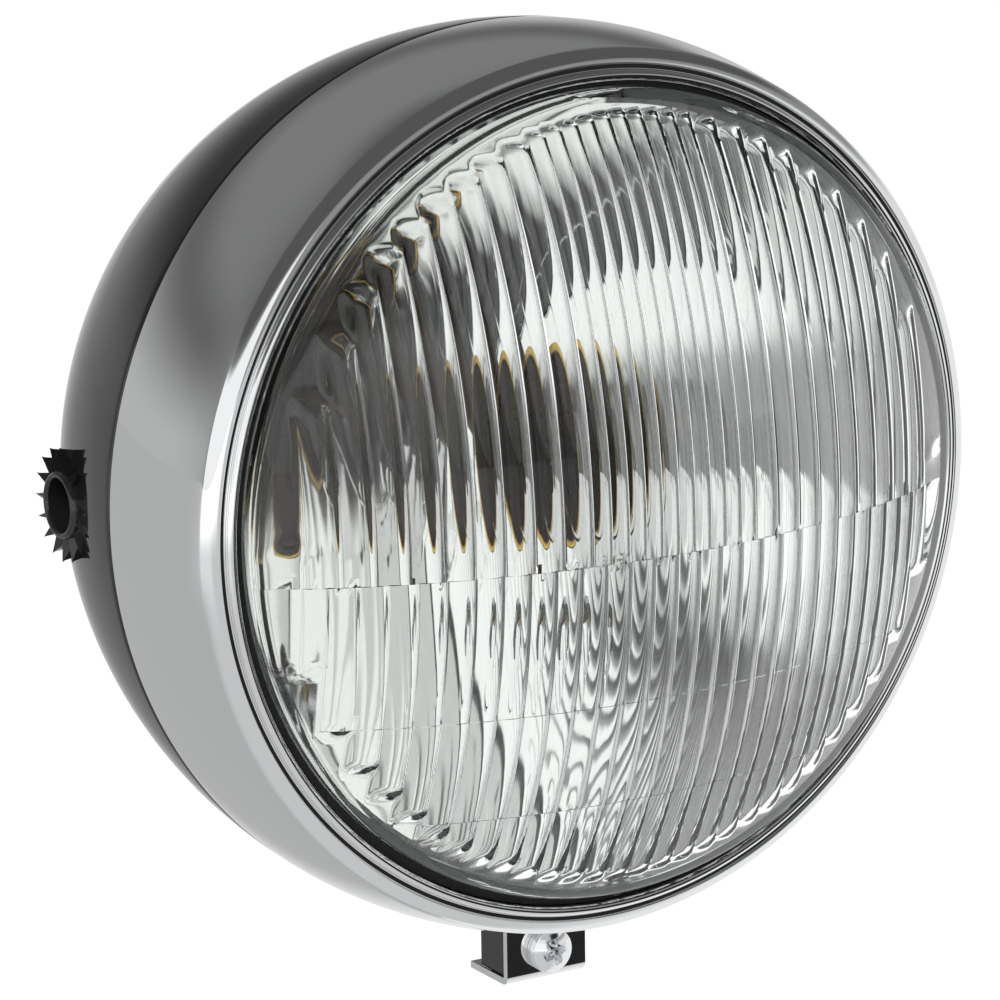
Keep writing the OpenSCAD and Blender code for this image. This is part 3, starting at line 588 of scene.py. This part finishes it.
# The locating lug is a half-round knob on the rim at the bottom.
LUG_R, LUG_Z = 2.2, -67.0
lug_a = np.linspace(0, 2 * np.pi, 64, endpoint=False)
lug = loft([np.stack([r * np.cos(lug_a), np.full(64, y - SETBACK), LUG_Z + r * np.sin(lug_a)],
                     axis=1)
            for r, y in [(0.02, -1.6), (LUG_R - 0.9, -1.5), (LUG_R - 0.3, -1.1), (LUG_R, -0.5),
                         (LUG_R, SEAT_Y), (0.02, SEAT_Y)]])
points, faces = joined((points, faces), lug)
glass, tree, shader = material("glass", (0.965, 0.985, 0.975), roughness=0.0,
                               Transmission_Weight=1.0, IOR=1.52)
grain(tree, shader, 60, 0.02, 0.0005, detail=1.0)
mesh_piece("lens_fluted", seat(points), faces, glass, "glass", "lens", edge_angle=50)


# Reflector: pressed steel, lacquered and aluminised to a mirror inside. Its flange carries the
# seal, its neck the bulb collar, and a hole below the neck lets the parking bulb in.
mirror, tree, shader = material("mirror", (0.9, 0.9, 0.89), metallic=1.0, roughness=0.03)
grain(tree, shader, 40, 0.03, 0.001, spread=(0.02, 0.06))
FOCAL = 25.0
DISH_R = SKIRT_R - 1.0
SEAL_T = 1.5
FLANGE_Y = SEAT_Y + SEAL_T
FLANGE_R = LIP_R + 3.2
APEX_Y = FLANGE_Y + DISH_R ** 2 / (4 * FOCAL)
HOLE_R = 17.5
NECK_L = 5.0
NECK_Y = APEX_Y - HOLE_R ** 2 / (4 * FOCAL) + NECK_L
PARKING_Z, PARKING_HOLE_R = 31.0, 6.4
dish = np.linspace(DISH_R, HOLE_R, 120)
dish = np.stack([dish, APEX_Y - dish ** 2 / (4 * FOCAL)], axis=1)
shell = (dish + [0.3, 1.0])[::-1][::4]
shell = shell[(shell[:, 0] > HOLE_R + 0.9) & (shell[:, 1] > FLANGE_Y + 0.9)]
points, faces = revolve(np.concatenate([
    [[FLANGE_R, FLANGE_Y + 0.8], [FLANGE_R, FLANGE_Y]], dish,
    [[HOLE_R, NECK_Y], [HOLE_R + 0.8, NECK_Y]], shell]), 256)
reflector = mesh_piece("reflector_dish", points, faces, mirror, "mirror", "reflector",
                       edge_angle=35)
parking_y = APEX_Y - PARKING_Z ** 2 / (4 * FOCAL) - SETBACK
cut_away(reflector, *bar(PARKING_HOLE_R, parking_y - 8, parking_y + 10, "y", (-PARKING_Z, 0.0)))
coords = np.empty(len(reflector.data.vertices) * 3)
reflector.data.vertices.foreach_get("co", coords)
reflector.data.vertices.foreach_set("co", seat(coords.reshape(-1, 3) / MM).ravel() * MM)
reflector.data.update()


# Bulb collar: yellow passivated steel in the reflector's neck. Its rim is gold, and towards
# the bulb, inside 15.9 mm from the axis, its colour turns a near-black brown.
gold, tree, shader = material("gold_passivated", (0.78, 0.55, 0.16), metallic=1.0, roughness=0.25)
grain(tree, shader, 300, 0.1, 0.0002, spread=(0.2, 0.35))
where = tree.nodes.new("ShaderNodeTexCoord")
split = tree.nodes.new("ShaderNodeSeparateXYZ")
flat = tree.nodes.new("ShaderNodeCombineXYZ")
size = tree.nodes.new("ShaderNodeVectorMath")
size.operation = "LENGTH"
# Darker towards the bulb: near-black brown inside 15.9 mm, gold beyond 16.6 mm.
inner_darkening = tree.nodes.new("ShaderNodeMapRange")
inner_darkening.inputs["From Min"].default_value = 15.9 * MM
inner_darkening.inputs["From Max"].default_value = 16.6 * MM
tint = tree.nodes.new("ShaderNodeMix")
tint.data_type = "RGBA"
tint.inputs["A"].default_value = (0.02, 0.008, 0.004, 1)
tint.inputs["B"].default_value = (0.78, 0.52, 0.14, 1)
tree.links.new(where.outputs["Object"], split.inputs["Vector"])
tree.links.new(split.outputs["X"], flat.inputs["X"])
tree.links.new(split.outputs["Z"], flat.inputs["Z"])
tree.links.new(flat.outputs["Vector"], size.inputs[0])
tree.links.new(size.outputs["Value"], inner_darkening.inputs["Value"])
tree.links.new(inner_darkening.outputs["Result"], tint.inputs["Factor"])
tree.links.new(tint.outputs["Result"], shader.inputs["Base Color"])
finish_nodes(gold, "bulb_collar")


# Bulbs: thin clear glass. The main bulb has a cap and a stem browned by heat, and sits in a
# brown moulded socket. The parking bulb has a brass cap, and the contacts are brass too.
clear, tree, shader = material("bulb_glass", (0.98, 0.98, 0.98), roughness=0.0,
                               Transmission_Weight=1.0, IOR=1.02)
grain(tree, shader, 90, 0.02, 0.0003)
brass, tree, shader = material("brass", (0.66, 0.5, 0.25), metallic=1.0, roughness=0.3)
grain(tree, shader, 400, 0.1, 0.0002, spread=(0.25, 0.45))
moulding, tree, shader = material("brown_moulding", (0.03, 0.02, 0.015), roughness=0.45)
grain(tree, shader, 600, 0.1, 0.0002, spread=(0.4, 0.6))
dark_cap, tree, shader = material("browned_cap", (0.07, 0.05, 0.035), metallic=1.0,
                                  roughness=0.35)
grain(tree, shader, 400, 0.1, 0.0002, spread=(0.3, 0.5))
finish_nodes(clear, "main_bulb", "parking_bulb")
finish_nodes(dark_cap, "bulb_cap", "bulb_stem")
finish_nodes(brass, "parking_bulb_cap", "socket_contacts")
finish_nodes(moulding, "bulb_socket")


# Floor: a pale studio floor, well below the lamp, that runs on to the horizon. It glows for
# the camera and keeps the shadow. Polished pieces and glass see painted levels on it instead:
# a painted reflection for the one, and a painted pool of light under the lamp for the other.
FLOOR_Z, FLOOR_HALF = -0.26, 30
CAMERA_GLOW = 0.92
floor_mesh = bpy.data.meshes.new("studio_floor")
floor_mesh.from_pydata([(x * FLOOR_HALF, y * FLOOR_HALF, FLOOR_Z)
                        for x, y in [(-1, -1), (1, -1), (1, 1), (-1, 1)]], [], [(0, 1, 2, 3)])
floor = bpy.data.objects.new("studio_floor", floor_mesh)
scene.collection.objects.link(floor)
floor_mat = bpy.data.materials.new("studio_floor")
floor_mat.use_nodes = True
tree = floor_mat.node_tree
tree.nodes.clear()


def link_value(socket, value):
    """Sets a socket to a number, or links an output to it."""
    if isinstance(value, (int, float)):
        socket.default_value = value
    else:
        tree.links.new(value, socket)


def math_node(operation, a, b):
    """A Math node on two numbers or outputs."""
    node = tree.nodes.new("ShaderNodeMath")
    node.operation = operation
    link_value(node.inputs[0], a)
    link_value(node.inputs[1], b)
    return node.outputs[0]


def ramp(value, low, high, start=0.0, end=1.0):
    """The start value below low, the end value above high, and smooth between."""
    node = tree.nodes.new("ShaderNodeMapRange")
    node.interpolation_type = "SMOOTHSTEP"
    node.inputs["From Min"].default_value = low
    node.inputs["From Max"].default_value = high
    node.inputs["To Min"].default_value = start
    node.inputs["To Max"].default_value = end
    tree.links.new(value, node.inputs["Value"])
    return node.outputs["Result"]


def towards(vector, direction):
    """Cosine of the angle between a vector output and a direction."""
    node = tree.nodes.new("ShaderNodeVectorMath")
    node.operation = "DOT_PRODUCT"
    node.inputs[1].default_value = Vector(direction).normalized()
    tree.links.new(vector, node.inputs[0])
    return node.outputs["Value"]


def blend(factor, a, b):
    """a where the factor is nought, b where it is one."""
    return math_node("ADD", math_node("MULTIPLY", math_node("SUBTRACT", 1.0, factor), a),
                     math_node("MULTIPLY", factor, b))


# Painted reflection: what polished pieces see of the floor is a glow of its own that lights
# nothing. It is mid grey behind, paler in front and to the right, and white further out on the
# left. A painted dark patch lies on the right in front, where the flat faces of the ring and
# the bracket look.
where = tree.nodes.new("ShaderNodeTexCoord")
flat = tree.nodes.new("ShaderNodeVectorMath")
flat.operation = "MULTIPLY"
flat.inputs[1].default_value = (1, 1, 0)
bearing = tree.nodes.new("ShaderNodeVectorMath")
bearing.operation = "NORMALIZE"
far = tree.nodes.new("ShaderNodeVectorMath")
far.operation = "LENGTH"
tree.links.new(where.outputs["Object"], flat.inputs[0])
tree.links.new(flat.outputs["Vector"], bearing.inputs[0])
tree.links.new(flat.outputs["Vector"], far.inputs[0])
right_side = ramp(towards(bearing.outputs["Vector"], (1, 0.15, 0)), 0.1, 0.75)
front_side = ramp(towards(bearing.outputs["Vector"], (-0.5, -1, 0)), 0.1, 0.9)
painted_floor_reflection = blend(front_side, 0.47, 0.62)
painted_floor_reflection = blend(right_side, painted_floor_reflection, 0.9)
left_side = ramp(towards(bearing.outputs["Vector"], (-1, -0.25, 0)), 0.65, 0.92)
painted_floor_reflection = blend(math_node("MULTIPLY", left_side, ramp(far.outputs["Value"], 0.5, 1.0)),
                       painted_floor_reflection, 0.8)
left_front = ramp(towards(bearing.outputs["Vector"], (-0.82, -0.57, 0)), 0.55, 0.68)
painted_floor_reflection = blend(math_node("MULTIPLY", left_front, ramp(far.outputs["Value"], 1.1, 1.8)),
                       painted_floor_reflection, 1.2)
# Painted dark reflection: a patch of the floor that only polished pieces and glass see.
painted_dark_patch = ramp(towards(bearing.outputs["Vector"], (0.53, -0.85, 0)), 0.93, 0.975)
painted_dark_patch = math_node("MULTIPLY", painted_dark_patch, ramp(far.outputs["Value"], 0.3, 0.42))
painted_floor_reflection = blend(painted_dark_patch, painted_floor_reflection, 0.02)

# Painted light seen only by the glass: a painted pool of light close under the lamp, darker
# further out in front, and mid grey in front on the left.
painted_glass_view_of_floor = blend(right_side, 0.62, 1.15)
painted_glass_view_of_floor = blend(ramp(towards(bearing.outputs["Vector"], (-0.78, -0.62, 0)), 0.8, 0.93),
                   painted_glass_view_of_floor, 0.34)
front = math_node("MULTIPLY", ramp(towards(bearing.outputs["Vector"], (0.05, -1, 0)), 0.8, 0.93),
                  ramp(far.outputs["Value"], 0.38, 0.48))
painted_glass_view_of_floor = blend(front, painted_glass_view_of_floor, 0.08)
painted_glass_view_of_floor = blend(ramp(far.outputs["Value"], 0.25, 0.4), 1.15, painted_glass_view_of_floor)
painted_glass_view_of_floor = blend(painted_dark_patch, painted_glass_view_of_floor, 0.02)

out = tree.nodes.new("ShaderNodeOutputMaterial")
rays = tree.nodes.new("ShaderNodeLightPath")
matt = tree.nodes.new("ShaderNodeBsdfDiffuse")
matt.inputs["Color"].default_value = (0.5, 0.5, 0.5, 1)
seen = tree.nodes.new("ShaderNodeEmission")
add = tree.nodes.new("ShaderNodeAddShader")
shown = tree.nodes.new("ShaderNodeEmission")
pick = tree.nodes.new("ShaderNodeMixShader")
tree.links.new(math_node("MULTIPLY", rays.outputs["Is Camera Ray"], CAMERA_GLOW),
               seen.inputs["Strength"])
tree.links.new(matt.outputs[0], add.inputs[0])
tree.links.new(seen.outputs[0], add.inputs[1])
# Glossy and transmission rays see only these painted levels, not the lit floor.
tree.links.new(blend(rays.outputs["Is Transmission Ray"], painted_floor_reflection, painted_glass_view_of_floor),
               shown.inputs["Strength"])
tree.links.new(math_node("MAXIMUM", rays.outputs["Is Glossy Ray"],
                         rays.outputs["Is Transmission Ray"]), pick.inputs["Fac"])
tree.links.new(add.outputs[0], pick.inputs[1])
tree.links.new(shown.outputs[0], pick.inputs[2])
tree.links.new(pick.outputs[0], out.inputs["Surface"])
floor_mesh.materials.append(floor_mat)


# World: a white room as the camera sees it. Polished pieces mirror its dark ceiling, a long
# soft box on the left and the white wall on the right. The glass alone shows a painted, paler
# room with painted glints, which lights nothing.
world = bpy.data.worlds.new("studio")
scene.world = world
world.use_nodes = True
tree = world.node_tree
tree.nodes.clear()
out = tree.nodes.new("ShaderNodeOutputWorld")
white = tree.nodes.new("ShaderNodeBackground")
white.inputs["Color"].default_value = (1, 1, 1, 1)
room = tree.nodes.new("ShaderNodeBackground")
mix = tree.nodes.new("ShaderNodeMixShader")
rays = tree.nodes.new("ShaderNodeLightPath")
where = tree.nodes.new("ShaderNodeTexCoord")
split = tree.nodes.new("ShaderNodeSeparateXYZ")
tree.links.new(where.outputs["Generated"], split.inputs["Vector"])
ray = where.outputs["Generated"]
up = split.outputs["Z"]

behind = ramp(towards(ray, (0, 1, 0)), 0.3, 0.7)
wall = blend(behind, 0.36, ramp(up, 0.05, 0.36, 0.62, 0.17))
ceiling = blend(behind, 0.12, ramp(up, 0.75, 0.85, 0.27, 0.13))
level = blend(ramp(up, 0.36, 0.52), wall, ceiling)
left_box = math_node("MULTIPLY", ramp(towards(ray, (-0.82, -0.55, 0.1)), 0.60, 0.66),
                     math_node("SUBTRACT", 1.0, ramp(up, 0.34, 0.42)))
level = blend(left_box, level, 1.25)
right_wall = math_node("MULTIPLY", ramp(towards(ray, (1, -0.05, 0)), 0.55, 0.7),
                       math_node("SUBTRACT", 1.0, ramp(up, 0.12, 0.3)))
level = blend(right_wall, level, 1.0)
level = blend(ramp(towards(ray, (0.5, -0.84, -0.2)), 0.93, 0.965), level, 0.02)

# Painted light for the glass: a paler room with bright painted glints, seen only by transmission
# rays.
painted_glass_room = blend(ramp(up, 0.55, 0.8), 1.0, 0.4)
painted_glass_room = blend(ramp(towards(ray, (-0.45, -0.5, 0.74)), 0.85, 0.95), painted_glass_room, 0.1)
painted_glass_room = blend(ramp(towards(ray, (0.75, -0.45, 0.6)), 0.8, 0.9), painted_glass_room, 1.5)
painted_glass_room = blend(ramp(towards(ray, (-0.85, -0.42, 0.3)), 0.9, 0.95), painted_glass_room, 1.6)
painted_glass_room = blend(ramp(towards(ray, (0.5, -0.84, -0.2)), 0.92, 0.965), painted_glass_room, 0.05)
level = blend(rays.outputs["Is Transmission Ray"], level, painted_glass_room)
tree.links.new(level, room.inputs["Strength"])
tree.links.new(rays.outputs["Is Camera Ray"], mix.inputs["Fac"])
tree.links.new(room.outputs[0], mix.inputs[1])
tree.links.new(white.outputs[0], mix.inputs[2])
tree.links.new(mix.outputs[0], out.inputs["Surface"])


# Lamp: one broad soft light over the left shoulder, which neither the polished pieces nor the
# glass show.
LAMP_PLACE, LAMP_SIZE, LAMP_POWER = (-1.0, -1.0, 1.2), 0.8, 14
lamp_data = bpy.data.lights.new("key_lamp", "AREA")
lamp_data.size = LAMP_SIZE
lamp_data.energy = LAMP_POWER
lamp = bpy.data.objects.new("key_lamp", lamp_data)
lamp.location = LAMP_PLACE
lamp.rotation_euler = (-Vector(LAMP_PLACE)).to_track_quat("-Z", "Y").to_euler()
lamp.visible_glossy = False
lamp.visible_transmission = False
scene.collection.objects.link(lamp)


# Camera: fitted to the photo's edges. Azimuth, elevation and roll in degrees, the distance
# and the look point's offsets in mm before the 0.99 scale, and the lens in image widths.
AZ, EL, ROLL = math.radians(-31.15), math.radians(12.764), math.radians(-0.857)
DISTANCE, ASIDE, ABOVE = 700.0, -17.838, 0.144
FIT_SCALE = 0.99
LENS_WIDTHS, SENSOR = 4.18669, 36
back = np.array([math.sin(AZ) * math.cos(EL), -math.cos(AZ) * math.cos(EL), math.sin(EL)])
right = np.cross([0, 0, 1], back)
right /= np.linalg.norm(right)
above = np.cross(back, right)
spot = (back * DISTANCE + right * ASIDE + above * ABOVE) * FIT_SCALE - np.array([0, SETBACK, 0])
image_right = right * math.cos(ROLL) + above * math.sin(ROLL)
image_up = -right * math.sin(ROLL) + above * math.cos(ROLL)
camera_data = bpy.data.cameras.new("camera")
camera_data.sensor_width = SENSOR
camera_data.lens = SENSOR * LENS_WIDTHS
camera_data.clip_start = 0.01
camera = bpy.data.objects.new("camera", camera_data)
matrix = Matrix.Identity(4)
matrix.col[0][:3], matrix.col[1][:3], matrix.col[2][:3] = image_right, image_up, back
matrix.col[3][:3] = spot * MM
camera.matrix_world = matrix
scene.collection.objects.link(camera)
scene.camera = camera


bpy.context.view_layer.update()
